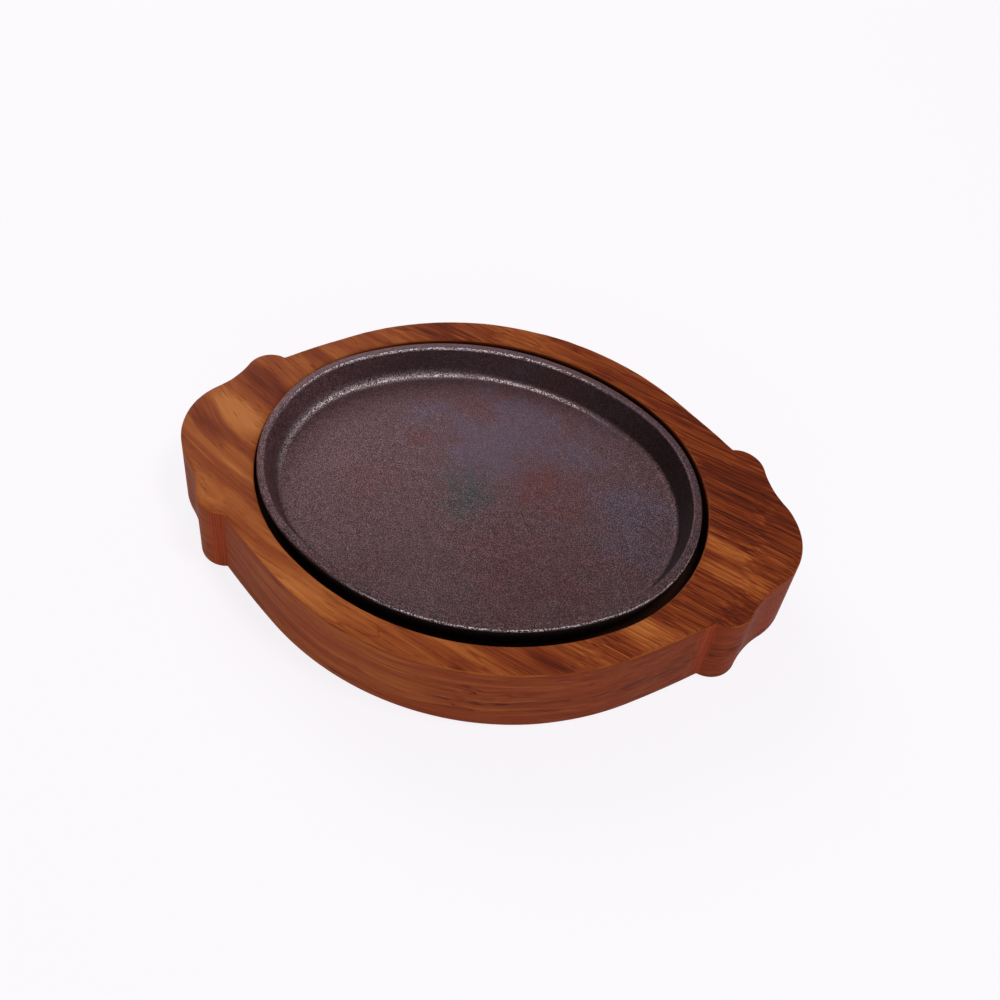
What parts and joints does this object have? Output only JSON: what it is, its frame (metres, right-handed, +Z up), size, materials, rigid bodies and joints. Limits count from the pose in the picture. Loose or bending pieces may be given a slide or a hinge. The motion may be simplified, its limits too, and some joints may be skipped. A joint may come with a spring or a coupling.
{
  "type": "sizzle platter",
  "caption": "Oval cast iron dish resting loose in the recess of a thick wooden base with a rounded handle at each end.",
  "frame": {"origin": "middle of the base's outline, on its underside", "axes": "+X along the length from handle to handle, +Y to the back, +Z up"},
  "size_m": [0.266, 0.181, 0.0438],
  "materials": {
    "wood": "oiled, satin",
    "iron": "seasoned, fine sand-cast grain"
  },
  "bodies": {
    "root": {"wooden_base": "wood", "iron_dish": "iron"}
  },
  "joints": []
}
